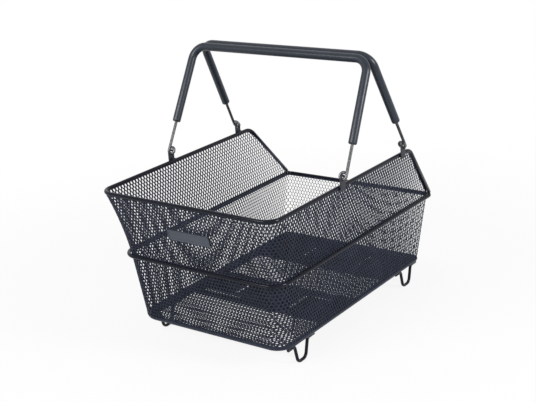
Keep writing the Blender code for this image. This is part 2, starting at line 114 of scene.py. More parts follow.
# Tabs, handles, feet and the plate, as in the CAD model
TAB_THICKNESS = 0.0024
TAB_EDGE = 0.003
TAB_ROLLED_EDGE = 0.0006
TAB_TO_SHOULDER = 0.0285
TAB_SPACING = 0.1774
PIVOT_RISE = 0.0125
TAB_FOOT_DROP = 0.006
HANDLE_REACH = 0.179
FRONT_HANDLE_TAPER = 0.0052
REAR_HANDLE_TAPER = 0.0105
HANDLE_BEND = 0.022
GRIP_MEET_TILT = 8
EYE_PLAY = 0.0011
EYE_CLEARANCE = 0.0009
EYE_MOUTH = 0.0005
GRIP_DIAMETER = 0.0130
GRIP_START = 0.052
GRIP_ROUND = 0.0022
FOOT_SIDE_INSET = 0.001
FRONT_FOOT_INSET = 0.0465
REAR_FOOT_INSET = 0.030
FOOT_TOP_SPREAD = 0.034
FOOT_BASE_SPREAD = 0.020
FOOT_BEND = 0.009
FOOT_TURN_OUT = 0.017
FOOT_TURN_OUT_BEND = 0.005
PLATE_WIDTH = 0.077
PLATE_HEIGHT = 0.017
PLATE_DEPTH = 0.003
PLATE_CORNER = 0.004
PLATE_BORDER = 0.0015
PLATE_RECESS = 0.0008
PLATE_BACK_EDGE = 0.0003
PLATE_FACE_DRAFT = 0.0003
PLATE_FACE_SOFTENING = 0.0001
PLATE_DROP = 0.050
CARRIER_EDGE = 0.0005

# Weld beads
WELD_RADIUS = 0.0016
SLOPE_WELD_RADIUS = 1.4 * WELD_RADIUS
WELD_OVERRUN = 0.0015
WELD_SEAT = 0.4
WELD_STEPS = 16
WELD_RIPPLE = 0.09
WELD_RIPPLE_TURN = 2.4
WELD_END_SHARE = 0.03

# How finely round shapes are divided
WIRE_SIDES = 20
GRIP_SIDES = 32
WELD_SIDES = 12
RIM_BEND_STEPS = 14
FOOT_BEND_STEPS = 10
HANDLE_BEND_STEPS = 16
EYE_STEPS = 30
GRIP_END_STEPS = 6
TAB_TOP_STEPS = 24
TAB_HOLE_STEPS = 36
PLATE_CORNER_STEPS = 8
PLATE_EDGE_STEPS = 4

# Sizes that follow from those above
RIM_SIDE = WIDTH / 2 - RIM_WIRE / 2
RIM_FRONT = RIM_WIRE / 2 - LENGTH / 2
RING_STANDOFF = CAD_THICKNESS / 2 + RING_SLACK + RING_WIRE / 2
RING_REAR = LENGTH / 2 - RING_WIRE / 2
WALL_SIDE_AT_RING = RIM_SIDE - UPPER_SIDE_FLARE
WALL_FRONT_AT_RING = RIM_FRONT + UPPER_FRONT_FLARE
WALL_REAR_AT_RING = RING_REAR - RING_STANDOFF
FLOOR_LEVEL = BASE_HEIGHT + CAD_THICKNESS / 2
BEND_TOP = FLOOR_LEVEL + FLOOR_BEND_RADIUS
WALL_TOP = RIM_HEIGHT - RIM_WIRE / 2 - GAP
SHOULDER_Y = RING_REAR - SLOPE_RUN
TAB_HOLE = HANDLE_WIRE / 2 + EYE_PLAY
TAB_RADIUS = TAB_HOLE + TAB_EDGE
TAB_SIDE = RIM_SIDE + RIM_WIRE / 2 + GAP + TAB_THICKNESS / 2
PIVOT_HEIGHT = RIM_HEIGHT + PIVOT_RISE
REAR_PIVOT_Y = SHOULDER_Y - TAB_TO_SHOULDER
FRONT_PIVOT_Y = REAR_PIVOT_Y - TAB_SPACING
EYE_SETTLE = EYE_PLAY - GAP
EYE_RADIUS = HANDLE_WIRE / 2 + (TAB_EDGE + EYE_PLAY + EYE_SETTLE + EYE_CLEARANCE) / 2
EYE_RISE = EYE_RADIUS - EYE_SETTLE
SIDE_FROM = FRONT_COLUMNS + FRONT_CORNER_COLUMNS
SIDE_TO = SIDE_FROM + SIDE_COLUMNS
REAR_FROM = SIDE_TO + REAR_CORNER_COLUMNS
REAR_TO = REAR_FROM + REAR_COLUMNS
ALL_COLUMNS = REAR_TO + SIDE_TO - FRONT_COLUMNS + REAR_CORNER_COLUMNS
MIRROR = Vector((-1, 1, 1))

# The photograph's frame and the camera that took it
FRAME_WIDTH = 536
FOCAL_PIXELS = 1119.04
CAMERA_PLACE = (0.99800, -1.35520, 0.76098)
CAMERA_FORWARD = (-0.568952, 0.756354, -0.322834)
CAMERA_ROLL = 3.92
SENSOR_WIDTH = 36
NEAREST_SEEN = 0.05

# The studio: its floor gets whiter between two distances from the middle
FLOOR_REACH = 9.0
FLOOR_DROP = 0.0004
FLOOR_COLOUR = (0.86, 0.86, 0.86, 1)
FLOOR_WHITE = 0.87
FLOOR_WHITE_FROM = 0.35
FLOOR_WHITE_TO = 1.1
WORLD_LIGHT = 0.44


def blend(start, end, share):
    return start + (end - start) * share


# Materials


class Maker:
    """Adds nodes to one new material."""

    def __init__(self, name):
        self.material = bpy.data.materials.new(name)
        self.material.use_nodes = True
        self.tree = self.material.node_tree
        self.shader = self.tree.nodes["Principled BSDF"]
        self.coordinates = self.add("ShaderNodeTexCoord").outputs["Object"]

    def add(self, kind, **values):
        node = self.tree.nodes.new(kind)
        for name, value in values.items():
            setattr(node, name, value)
        return node

    def link(self, start, end):
        self.tree.links.new(start, end)

    def noise(self, scale, detail=3.0, roughness=0.55, stretch=None):
        node = self.add("ShaderNodeTexNoise")
        node.inputs["Scale"].default_value = scale
        node.inputs["Detail"].default_value = detail
        node.inputs["Roughness"].default_value = roughness
        place = self.coordinates
        if stretch:
            mapping = self.add("ShaderNodeMapping")
            mapping.inputs["Scale"].default_value = stretch
            self.link(place, mapping.inputs["Vector"])
            place = mapping.outputs["Vector"]
        self.link(place, node.inputs["Vector"])
        return node.outputs["Fac"]

    def ranged(self, value, low, high, from_low=0.3, from_high=0.7):
        node = self.add("ShaderNodeMapRange")
        node.inputs["From Min"].default_value = from_low
        node.inputs["From Max"].default_value = from_high
        node.inputs["To Min"].default_value = low
        node.inputs["To Max"].default_value = high
        self.link(value, node.inputs["Value"])
        return node.outputs["Result"]

    def mixed(self, share, first, second):
        node = self.add("ShaderNodeMix", data_type="RGBA")
        self.link(share, node.inputs["Factor"])
        for socket, colour in zip((node.inputs[6], node.inputs[7]), (first, second)):
            if isinstance(colour, bpy.types.NodeSocket):
                self.link(colour, socket)
            else:
                socket.default_value = (*colour, 1)
        return node.outputs[2]

    def bumped(self, height, distance, strength):
        node = self.add("ShaderNodeBump")
        node.inputs["Strength"].default_value = strength
        node.inputs["Distance"].default_value = distance
        self.link(height, node.inputs["Height"])
        self.link(node.outputs["Normal"], self.shader.inputs["Normal"])

    def worn_edges(self, start, end):
        """1 on edges that stick out, 0 on flat faces, by how pointed the surface is."""
        geometry = self.add("ShaderNodeNewGeometry")
        return self.ranged(geometry.outputs["Pointiness"], 0, 1, start, end)

    def near_axis(self, y, close, far):
        """1 near a handle's hinge axis, 0 away from it."""
        offset = self.add("ShaderNodeVectorMath", operation="SUBTRACT")
        offset.inputs[1].default_value = (0, y, PIVOT_HEIGHT)
        square = self.add("ShaderNodeVectorMath", operation="MULTIPLY")
        square.inputs[1].default_value = (0, 1, 1)
        length = self.add("ShaderNodeVectorMath", operation="LENGTH")
        self.link(self.coordinates, offset.inputs[0])
        self.link(offset.outputs["Vector"], square.inputs[0])
        self.link(square.outputs["Vector"], length.inputs[0])
        return self.ranged(length.outputs["Value"], 1, 0, close, far)

    def colour(self, socket):
        self.link(socket, self.shader.inputs["Base Color"])

    def roughness(self, socket):
        self.link(socket, self.shader.inputs["Roughness"])

    def set(self, **values):
        for name, value in values.items():
            self.shader.inputs[name.replace("_", " ")].default_value = value


def powder_coat(name, dark, light, rough, grain, shine):
    """Black powder coat: faint cloudy tone, orange-peel skin."""
    maker = Maker(name)
    maker.set(Specular_IOR_Level=shine)
    clouds = maker.noise(scale=38, detail=4)
    maker.colour(maker.mixed(maker.ranged(clouds, 0, 1), dark, light))
    maker.roughness(maker.ranged(maker.noise(scale=210), *rough))
    maker.bumped(maker.noise(scale=1400, detail=2), distance=grain, strength=0.6)
    return maker.material


def wire_steel(name, dark, light, wear_and_highlight, pivot_y):
    """Plated steel wire: drawn streaks, small dull spots, and a painted highlight at the eyes."""
    maker = Maker(name)
    spots = maker.noise(scale=420, detail=4, roughness=0.7)
    streaks = maker.noise(scale=90, roughness=0.6, stretch=(6, 6, 0.6))
    tone = maker.mixed(maker.ranged(streaks, 0, 1), dark, light)
    # The paler colour near the hinge axis is a painted highlight on the eyes, not wear.
    maker.colour(maker.mixed(maker.near_axis(pivot_y, close=0.006, far=0.013), tone, wear_and_highlight))
    maker.roughness(maker.ranged(spots, low=0.30, high=0.46))
    maker.bumped(streaks, distance=0.00012, strength=0.5)
    maker.set(Metallic=0.9)
    return maker.material


def tab_steel(name, dark, light, wear_and_highlight):
    """Stamped and painted strap: fine tumbled grain, edges rubbed paler."""
    maker = Maker(name)
    clouds = maker.noise(scale=160, detail=4)
    tone = maker.mixed(maker.ranged(clouds, 0, 1), dark, light)
    maker.colour(maker.mixed(maker.worn_edges(start=0.52, end=0.60), tone, wear_and_highlight))
    maker.roughness(maker.ranged(maker.noise(scale=700), low=0.34, high=0.52))
    maker.bumped(maker.noise(scale=1800, detail=2), distance=0.00008, strength=0.5)
    maker.set(Specular_IOR_Level=0.3)
    return maker.material


def grip_vinyl(name, dark, light):
    """Soft slate tubing: faint mottling and a fine skin grain."""
    maker = Maker(name)
    mottle = maker.noise(scale=55, detail=5, roughness=0.6)
    grain = maker.noise(scale=2600, detail=2)
    maker.colour(maker.mixed(maker.ranged(mottle, 0, 1), dark, light))
    maker.roughness(maker.ranged(maker.noise(scale=300), low=0.31, high=0.36))
    maker.bumped(grain, distance=0.00004, strength=0.05)
    maker.set(Specular_IOR_Level=0.36)
    return maker.material


def moulded_plastic(name, dark, light):
    """Moulded plate: spark-eroded grain with a little flow streaking."""
    maker = Maker(name)
    flow = maker.noise(scale=60, detail=4, roughness=0.6, stretch=(0.4, 1, 2.5))
    maker.colour(maker.mixed(maker.ranged(flow, 0, 1), dark, light))
    maker.roughness(maker.ranged(maker.noise(scale=500), low=0.38, high=0.52))
    maker.bumped(maker.noise(scale=3200, detail=2), distance=0.00005, strength=0.7)
    return maker.material


# Pieces


def add_object(name, data):
    thing = bpy.data.objects.new(name, data)
    bpy.context.scene.collection.objects.link(thing)
    return thing


def add_piece(name, data, material, body, slot, *nodes, place=None):
    """Puts a piece in the scene, on its body, in place of the CAD nodes that it stands for."""
    data.materials.append(material)
    piece = add_object(name, data)
    if place:
        piece.matrix_world = place
    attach(piece, body)
    if nodes:
        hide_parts(*nodes)


def rounded_path(corners, steps, closed=False):
    """Points along straight runs between corners, each corner given as (point, radius)."""
    points = []
    for index, (corner, radius) in enumerate(corners):
        at_end = index in (0, len(corners) - 1)
        if radius == 0 or (at_end and not closed):
            points.append(corner.copy())
            continue
        to_before = (corners[index - 1][0] - corner).normalized()
        to_after = (corners[(index + 1) % len(corners)][0] - corner).normalized()
        half = to_before.angle(to_after) / 2
        centre = corner + (to_before + to_after).normalized() * (radius / math.sin(half))
        spoke = corner + to_before * (radius / math.tan(half)) - centre
        axis = to_after.cross(to_before)
        for step in range(steps + 1):
            turn = Matrix.Rotation((math.pi - 2 * half) * step / steps, 3, axis)
            points.append(centre + turn @ spoke)
    return points


def path_frames(points, closed=False):
    """Each point of a path with two directions square to the path there, turned no more than it turns."""
    count = len(points)
    tangents = []
    for index in range(count):
        before = points[index - 1] if closed or index else points[0]
        after = points[(index + 1) % count] if closed or index < count - 1 else points[-1]
        tangents.append((after - before).normalized())
    normal = tangents[0].orthogonal().normalized()
    frames = []
    for index, tangent in enumerate(tangents):
        if index:
            normal = tangents[index - 1].rotation_difference(tangent) @ normal
        frames.append((points[index], normal.copy(), tangent.cross(normal)))
    return frames


def loft(name, vertices, sides, closed=False):
    """A mesh through rings of vertices, smooth along its run, with flat ends unless it is closed."""
    count = len(vertices) // sides
    faces = []
    for index in range(count if closed else count - 1):
        here = index * sides
        there = (index + 1) % count * sides
        for step in range(sides):
            after = (step + 1) % sides
            faces.append((here + step, here + after, there + after, there + step))
    if not closed:
        faces.append(tuple(reversed(range(sides))))
        faces.append(tuple(range((count - 1) * sides, count * sides)))
    data = bpy.data.meshes.new(name)
    data.from_pydata(vertices, [], faces)
    data.polygons.foreach_set("use_smooth", [len(face) == 4 for face in faces])
    return data


def skin(name, rings, sides, closed=False):
    """A round skin through rings given as (frame, radius)."""
    vertices = []
    for (point, normal, side), radius in rings:
        for step in range(sides):
            angle = 2 * math.pi * step / sides
            vertices.append(point + (normal * math.cos(angle) + side * math.sin(angle)) * radius)
    return loft(name, vertices, sides, closed)


def wire(name, points, diameter):
    """A round wire along the points, its cut ends with a small chamfer."""
    radius = diameter / 2
    chamfer = diameter / 10
    first = points[0] + (points[1] - points[0]).normalized() * chamfer
    last = points[-1] + (points[-2] - points[-1]).normalized() * chamfer
    frames = path_frames([points[0], first, *points[1:-1], last, points[-1]])
    radii = [radius - chamfer] + [radius] * (len(frames) - 2) + [radius - chamfer]
    return skin(name, list(zip(frames, radii)), WIRE_SIDES)


def arc(centre_x, centre_y, radius, start, end, steps):
    """Points on an arc, with its angles in degrees."""
    points = []
    for step in range(steps + 1):
        angle = math.radians(blend(start, end, step / steps))
        points.append((centre_x + radius * math.cos(angle), centre_y + radius * math.sin(angle)))
    return points


def rectangle(width, height, radius):
    """The outline of a rectangle with rounded corners."""
    x = width / 2 - radius
    y = height / 2 - radius
    outline = []
    for centre_x, centre_y, start in ((x, -y, -90), (x, y, 0), (-x, y, 90), (-x, -y, 180)):
        outline += arc(centre_x, centre_y, radius, start, start + 90, PLATE_CORNER_STEPS)
    return outline


# The tub's honeycomb


class Station:
    """The tub's outline at one row: rows -1 to 0 are the floor's bend, LOWER_ROWS is the ring."""

    def __init__(self, row):
        lower = min(max(row, 0) / LOWER_ROWS, 1)
        upper = max(row - LOWER_ROWS, 0) / UPPER_ROWS
        turn = max(-row, 0) * math.pi / 2
        inset = FLOOR_BEND_RADIUS * (1 - math.cos(turn))
        self.z = blend(blend(BEND_TOP, RING_HEIGHT, lower), WALL_TOP, upper)
        self.z -= FLOOR_BEND_RADIUS * math.sin(turn)
        below = 1 - lower
        above = blend(upper, upper ** 2, FLARE_CURVE)
        self.side = WALL_SIDE_AT_RING - LOWER_SIDE_FLARE * below + UPPER_SIDE_FLARE * above - inset
        self.front = WALL_FRONT_AT_RING + LOWER_FRONT_FLARE * below - UPPER_FRONT_FLARE * above + inset
        self.rear = WALL_REAR_AT_RING - LOWER_REAR_FLARE * below - inset
        front_corner = blend(blend(FRONT_CORNER_FLOOR, FRONT_CORNER_RING, lower), FRONT_CORNER_RIM, upper)
        self.front_corner = front_corner - inset
        self.rear_corner = blend(REAR_CORNER_FLOOR, REAR_CORNER_RING, lower) - inset
        self.side_start = self.front + self.front_corner
        self.side_end = self.rear - self.rear_corner


@lru_cache(maxsize=None)
def station(row):
    return Station(row)


def shoulder():
    """The corner where the rim's right-hand side turns down towards the low end."""
    return Vector((RIM_SIDE, SHOULDER_Y, RIM_HEIGHT))


@lru_cache(maxsize=None)
def slope_foot():
    """The cut end of the right-hand sloping wire, on top of the ring's rounded rear corner."""
    radius = REAR_CORNER_RING + RING_STANDOFF
    landing = math.radians(SLOPE_LANDING)
    x = WALL_SIDE_AT_RING + RING_STANDOFF - radius * (1 - math.cos(landing))
    y = RING_REAR - radius * (1 - math.sin(landing))
    ring_top = Vector((x, y, RING_HEIGHT + RING_WIRE / 2))
    steepness = (ring_top - shoulder()).normalized().z
    ring_top.z += RIM_WIRE / 2 * math.sqrt(1 - steepness ** 2) + GAP
    return ring_top


def slope_hold(y, z, strip):
    """A point of the side mesh, moved square back to a strip's width inside its edge if it is past that.

    The edge stops under the level rim and runs behind the sloping wire.
    """
    along = slope_foot() - shoulder()
    turn = math.atan2(-along.z, along.y)
    over_y = y - SHOULDER_Y + SHOULDER_RADIUS * math.tan(turn / 2)
    over_z = z - RIM_HEIGHT + SHOULDER_RADIUS
    angle = min(max(math.atan2(over_y, over_z), 0), turn)
    reach = over_y * math.sin(angle) + over_z * math.cos(angle)
    overlap = SLOPE_OVERLAP * angle / turn
    inset = blend(RIM_STRIP, SLOPE_STRIP, angle / turn) if strip else 0.0
    past = max(reach - (SHOULDER_RADIUS - RIM_WIRE / 2 - GAP + overlap - inset), 0)
    return y - past * math.sin(angle), z - past * math.cos(angle)


def wall_place(column, row):
    """A point of the wall's middle surface: columns run round the tub from the front wall's left end."""
    column %= ALL_COLUMNS
    if column > REAR_TO:
        return wall_place(FRONT_COLUMNS - column, row) * MIRROR
    at = station(row)
    if column <= FRONT_COLUMNS:
        reach = at.side - at.front_corner
        return Vector((blend(-reach, reach, column / FRONT_COLUMNS), at.front, at.z))
    if column <= SIDE_FROM:
        radius = at.front_corner
        angle = (column - FRONT_COLUMNS) / FRONT_CORNER_COLUMNS * math.pi / 2
        across = at.side - radius + radius * math.sin(angle)
        return Vector((across, at.front + radius - radius * math.cos(angle), at.z))
    if column <= SIDE_TO:
        share = (column - SIDE_FROM) / SIDE_COLUMNS
        return Vector((at.side, blend(at.side_start, at.side_end, share), at.z))
    if column <= REAR_FROM:
        radius = at.rear_corner
        angle = (column - SIDE_TO) / REAR_CORNER_COLUMNS * math.pi / 2
        across = at.side - radius + radius * math.cos(angle)
        return Vector((across, at.rear - radius + radius * math.sin(angle), at.z))
    reach = at.side - at.rear_corner
    return Vector((blend(reach, -reach, (column - REAR_FROM) / REAR_COLUMNS), at.rear, at.z))


def wall_hold(column, row, strip, cell_row):
    """Keeps a point inside the solid strips along the wall's edges, its fold and the sloping wire."""
    upper = cell_row >= LOWER_ROWS
    if strip:
        low = LOWER_ROWS + RING_STRIP / ROW_PITCH if upper else FOLD_STRIP / ROW_PITCH
        high = WALL_ROWS - RIM_STRIP / ROW_PITCH if upper else LOWER_ROWS - RING_STRIP / ROW_PITCH
        row = min(max(row, low), high)
    if not upper:
        return column, row
    on_left = column > (REAR_FROM + REAR_TO) / 2
    own = ALL_COLUMNS + FRONT_COLUMNS - column if on_left else column
    if own > SIDE_FROM:
        at = station(row)
        y = blend(at.side_start, at.side_end, (own - SIDE_FROM) / SIDE_COLUMNS)
        y, z = slope_hold(y, at.z, strip)
        height = (z - RING_HEIGHT) / (WALL_TOP - RING_HEIGHT)
        row = max(LOWER_ROWS + UPPER_ROWS * height, low if strip else LOWER_ROWS)
        at = station(row)
        own = SIDE_FROM + SIDE_COLUMNS * min((y - at.side_start) / (at.side_end - at.side_start), 1)
    return ALL_COLUMNS + FRONT_COLUMNS - own if on_left else own, row


def wall_strand(column, row):
    """The bond's width and the strand's width and depth.

    They get thinner towards the low end, on the right-hand side only close to it.
    """
    place = wall_place(column, row)
    rearward = (place.y - RIM_FRONT) / (RING_REAR - RIM_FRONT)
    rightward = (1 + place.x / RIM_SIDE) / 2
    return blend(FRONT_STRAND, REAR_STRAND, rearward ** blend(LEFT_CURVE, RIGHT_CURVE, rightward))


def wall_slant(row):
    """The lean of the strands along the run of the wall, a little more below the ring than above it."""
    return UPPER_SLANT if row >= LOWER_ROWS else LOWER_SLANT


def floor_place(column, row):
    """A point of the floor's middle surface: columns run to the right, rows to the rear."""
    base = station(-1)
    x = blend(-base.side, base.side, column / FLOOR_COLUMNS)
    return Vector((x, blend(base.front, base.rear, row / FLOOR_ROWS), FLOOR_LEVEL))


def floor_strand(column, row):
    """The floor's bond and strand, which are the same everywhere."""
    return FLOOR_STRAND


def floor_hold(column, row, strip, cell_row):
    """Keeps a point inside the floor's rounded outline, or a strip's width inside it."""
    base = station(-1)
    inset = FLOOR_STRIP if strip else 0.0
    point = floor_place(column, row)
    reach = base.side - inset
    x = min(max(point.x, -reach), reach)
    y = min(max(point.y, base.front + inset), base.rear - inset)
    near_front = y < 0
    radius = (base.front_corner if near_front else base.rear_corner) - inset
    if radius > 0:
        centre_x = math.copysign(reach - radius, x)
        centre_y = base.front + inset + radius if near_front else base.rear - inset - radius
        over_x = (x - centre_x) * math.copysign(1, x)
        over_y = (centre_y - y) if near_front else (y - centre_y)
        if over_x > 0 and over_y > 0:
            distance = math.hypot(over_x, over_y)
            if distance > radius:
                x = centre_x + (x - centre_x) * radius / distance
                y = centre_y + (y - centre_y) * radius / distance
    column = (x + base.side) / (2 * base.side) * FLOOR_COLUMNS
    return column, (y - base.front) / (base.rear - base.front) * FLOOR_ROWS


def hole_loop(corners, bond, width):
    """A cell's rounded opening: upright sides moved in by half a bond, the others by half a strand."""
    count = len(corners)
    inner = []
    for index, point in enumerate(corners):
        before = (point - corners[index - 1]).normalized()
        after = (corners[(index + 1) % count] - point).normalized()
        turn = before.x * after.y - before.y * after.x
        if abs(turn) < PARALLEL_TOLERANCE:
            inner.append(point + Vector((-before.y, before.x)) * (width / 2))
            continue
        before_width = bond if abs(before.x) < LATTICE_TOLERANCE else width
        after_width = bond if abs(after.x) < LATTICE_TOLERANCE else width
        inner.append(point + (after * before_width - before * after_width) / (2 * turn))
    loop = []
    for index, point in enumerate(inner):
        loop.append(point + (inner[index - 1] - point) * ROUNDING)
        loop.append(point + (inner[(index + 1) % count] - point) * ROUNDING)
    return loop


def loop_area(points):
    """The area inside a loop of points on a plane."""
    after = points[1:] + points[:1]
    return sum(a[0] * b[1] - a[1] * b[0] for a, b in zip(points, after)) / 2


def honeycomb(name, cells, place, hold, strand, straight_lines, slant=None, bend=()):
    """A sheet of open honeycomb made of ridged strands, over cells given as (first half column, row).

    place gives the surface's point at a column and row, hold keeps points off its solid edges, and strand
    gives the widths of an upright bond and a strand, and their depth. Row lines in straight_lines have no
    zigzag. slant gives the lean of the strands at a row. bend holds the rows of a solid strip below row 0.
    """
    vertices, flat, faces, sides = [], [], [], []
    ridges = {}
    uses = {}
    whole = PITCH * ROW_PITCH

    def add_vertex(point, column, row):
        vertices.append(point)
        flat.append((column, row))
        return len(vertices) - 1

    def add_face(side, *corners):
        faces.append(corners)
        sides.append(side)

    def lattice(half, line):
        """A corner of the six-sided cells, as column and row."""
        if line in straight_lines:
            return half / 2, line
        return half / 2, line + (ZIGZAG if (half + line) % 2 == 0 else -ZIGZAG)

    def add_pair(column, row, depth):
        """The outer and inner vertex of the sheet at one place."""
        across = place(column + NORMAL_STEP, row) - place(column - NORMAL_STEP, row)
        upward = place(column, row + NORMAL_STEP) - place(column, row - NORMAL_STEP)
        lift = across.cross(upward).normalized()
        if slant:
            lift = lift + across.normalized() * slant(row)
        lift *= depth / 2
        point = place(column, row)
        return add_vertex(point + lift, column, row), add_vertex(point - lift, column, row)

    def ridge(key, column, row, depth):
        """The pair of vertices at a corner, made once and shared by the cells about it."""
        if key not in ridges:
            ridges[key] = add_pair(column, row, depth)
        return ridges[key]

    for first, row in cells:
        keys = [(first + step, row) for step in range(3)]
        keys += [(first + step, row + 1) for step in (2, 1, 0)]
        bare = [lattice(*key) for key in keys]
        held = [hold(*point, 0, row) for point in bare]
        if all(abs(a[0] - b[0]) > LATTICE_TOLERANCE for a, b in zip(bare, held)):
            continue
        corners = []
        for key, point in zip(keys, held):
            depth = CAD_THICKNESS if key[1] == 0 else strand(*point).z
            corners.append(ridge(key, *point, depth))
        bond, width, depth = strand((first + 1) / 2, row + 0.5)
        scaled = [Vector((column * PITCH, line * ROW_PITCH)) for column, line in bare]
        loop = [hold(p.x / PITCH, p.y / ROW_PITCH, 1, row) for p in hole_loop(scaled, bond, width)]
        pairs = [(index, (index + 1) % len(keys)) for index in range(len(keys))]
        for start, end in pairs:
            uses.setdefault(frozenset((keys[start], keys[end])), []).append((keys[start], keys[end]))
        if loop_area([(c * PITCH, r * ROW_PITCH) for c, r in loop]) < SMALLEST_OPENING * whole:
            add_face(OUTER, *(corner[0] for corner in corners))
            add_face(INNER, *(corner[1] for corner in reversed(corners)))
            continue
        hole = [add_pair(*point, depth * STRAND_CROWN) for point in loop]
        for start, end in pairs:
            near, far, own = hole[2 * start + 1], hole[2 * end], hole[2 * start]
            add_face(OUTER, corners[start][0], corners[end][0], far[0], near[0])
            add_face(INNER, corners[end][1], corners[start][1], near[1], far[1])
            add_face(OUTER, corners[start][0], near[0], own[0])
            add_face(INNER, corners[start][1], own[1], near[1])
            add_face(OPENING, near[0], far[0], far[1], near[1])
            add_face(OPENING, own[0], near[0], near[1], own[1])

    borders = [pairs[0] for pairs in uses.values() if len(pairs) == 1]
    if bend:
        base = sorted({key for pair in borders for key in pair if key[1] == 0})
        borders = [pair for pair in borders if not pair[0][1] == pair[1][1] == 0]
        above = [ridges[key] for key in base]
        for row in bend:
            under = [ridge((half, row), half / 2, row, CAD_THICKNESS) for half, line in base]
            for index in range(len(base) - 1):
                after = index + 1
                add_face(OUTER, under[index][0], under[after][0], above[after][0], above[index][0])
                add_face(INNER, under[after][1], under[index][1], above[index][1], above[after][1])
            add_face(EDGE, above[0][0], above[0][1], under[0][1], under[0][0])
            add_face(EDGE, under[-1][0], under[-1][1], above[-1][1], above[-1][0])
            above = under
        for first, second in zip(above, above[1:]):
            add_face(EDGE, first[0], first[1], second[1], second[0])
    for start, end in borders:
        add_face(EDGE, ridges[end][0], ridges[start][0], ridges[start][1], ridges[end][1])

    data = bpy.data.meshes.new(name)
    data.from_pydata(vertices, [], faces)
    data.polygons.foreach_set("use_smooth", [side != EDGE for side in sides])
    lay_out(data, np.array(flat), np.array(sides))
    return data


def lay_out(data, flat, sides):
    """A flat map of the sheet for texture bakes: its outer face in the left half, its inner in the right.

    The walls of its openings and edges are turned out beside the outer face, so that they keep a width.
    """
    low = flat.min(0)
    high = flat.max(0)
    share = (flat - low) / (high - low)
    corners = np.zeros(len(data.loops), np.int32)
    data.loops.foreach_get("vertex_index", corners)
    totals = np.zeros(len(data.polygons), np.int32)
    data.polygons.foreach_get("loop_total", totals)
    side = np.repeat(sides, totals)
    places = share[corners] * MAP_SIZE + MAP_MARGIN
    places[:, 0] += np.where(side == INNER, MAP_INNER_SHIFT, 0)
    places += (np.where(side >= EDGE, corners % 2, 0) * MAP_TURN_OUT)[:, None]
    layer = data.uv_layers.new(name="OFBake")
    layer.data.foreach_set("uv", places.astype(np.float32).ravel())


def build_tub(material):
    """The eight panels of the wall, each from where the last one ends, and the floor."""
    lines = {0, LOWER_ROWS, WALL_ROWS}
    bend = [-step / BEND_STEPS for step in range(1, BEND_STEPS + 1)]
    ends = (
        ("front_wall", FRONT_COLUMNS, WALL_ROWS),
        ("front_right_corner", SIDE_FROM, WALL_ROWS),
        ("right_wall", SIDE_TO, WALL_ROWS),
        ("rear_right_corner", REAR_FROM, LOWER_ROWS),
        ("rear_wall", REAR_TO, LOWER_ROWS),
        ("rear_left_corner", REAR_TO + REAR_CORNER_COLUMNS, LOWER_ROWS),
        ("left_wall", ALL_COLUMNS - FRONT_CORNER_COLUMNS, WALL_ROWS),
        ("front_left_corner", ALL_COLUMNS, WALL_ROWS),
    )
    surface = wall_place, wall_hold, wall_strand
    start = 0
    for word, end, rows in ends:
        cells = []
        for row in range(rows):
            cells += [(2 * column + row % 2, row) for column in range(start, end)]
        data = honeycomb(f"{word}_honeycomb", cells, *surface, lines, wall_slant, bend)
        add_piece(f"{word}_honeycomb", data, material, "basket", "mesh_coat", f"{word}_mesh")
        start = end
    cells = []
    for row in range(FLOOR_ROWS):
        shifted = row % 2
        cells += [(2 * column - shifted, row) for column in range(FLOOR_COLUMNS + shifted)]
    data = honeycomb("floor_honeycomb", cells, floor_place, floor_hold, floor_strand, {0, FLOOR_ROWS})
    add_piece("floor_honeycomb", data, material, "basket", "mesh_coat", "floor_mesh")


# Wires


def build_rim(material):
    """The top wire, from the foot of one slope round the front to the foot of the other."""
    front = Vector((RIM_SIDE, RIM_FRONT, RIM_HEIGHT))
    right = [(slope_foot(), 0), (shoulder(), SHOULDER_RADIUS), (front, FRONT_CORNER_RIM)]
    left = [(point * MIRROR, radius) for point, radius in reversed(right)]
    data = wire("rim", rounded_path(right + left, RIM_BEND_STEPS), RIM_WIRE)
    add_piece("rim", data, material, "basket", "wire_coat", "rim_wire")


def build_ring(material):
    """The closed wire round the outside of the tub at half its height."""
    ring = station(LOWER_ROWS)
    side = ring.side + RING_STANDOFF
    front = ring.front - RING_STANDOFF
    front_radius = ring.front_corner + RING_STANDOFF
    rear_radius = ring.rear_corner + RING_STANDOFF
    corners = [
        (Vector((-side, front, RING_HEIGHT)), front_radius),
        (Vector((side, front, RING_HEIGHT)), front_radius),
        (Vector((side, RING_REAR, RING_HEIGHT)), rear_radius),
        (Vector((-side, RING_REAR, RING_HEIGHT)), rear_radius),
    ]
    frames = path_frames(rounded_path(corners, RIM_BEND_STEPS, closed=True), closed=True)
    data = skin("ring", [(place, RING_WIRE / 2) for place in frames], WIRE_SIDES, closed=True)
    add_piece("ring", data, material, "basket", "wire_coat", "ring_wire")


def build_foot(name, x, y, material):
    """A bent wire that stands on the ground, its ends turned out under the floor's edge."""
    base = FOOT_WIRE / 2
    top = BASE_HEIGHT - GAP - FOOT_WIRE / 2
    turned_out = FOOT_TOP_SPREAD / 2 + FOOT_TURN_OUT
    profile = [
        (-turned_out, top, 0),
        (-FOOT_TOP_SPREAD / 2, top, FOOT_TURN_OUT_BEND),
        (-FOOT_BASE_SPREAD / 2, base, FOOT_BEND),
        (FOOT_BASE_SPREAD / 2, base, FOOT_BEND),
        (FOOT_TOP_SPREAD / 2, top, FOOT_TURN_OUT_BEND),
        (turned_out, top, 0),
    ]
    corners = [(Vector((x, y + along, height)), radius) for along, height, radius in profile]
    data = wire(f"{name}_wire", rounded_path(corners, FOOT_BEND_STEPS), FOOT_WIRE)
    add_piece(f"{name}_wire", data, material, "basket", "wire_coat", name)


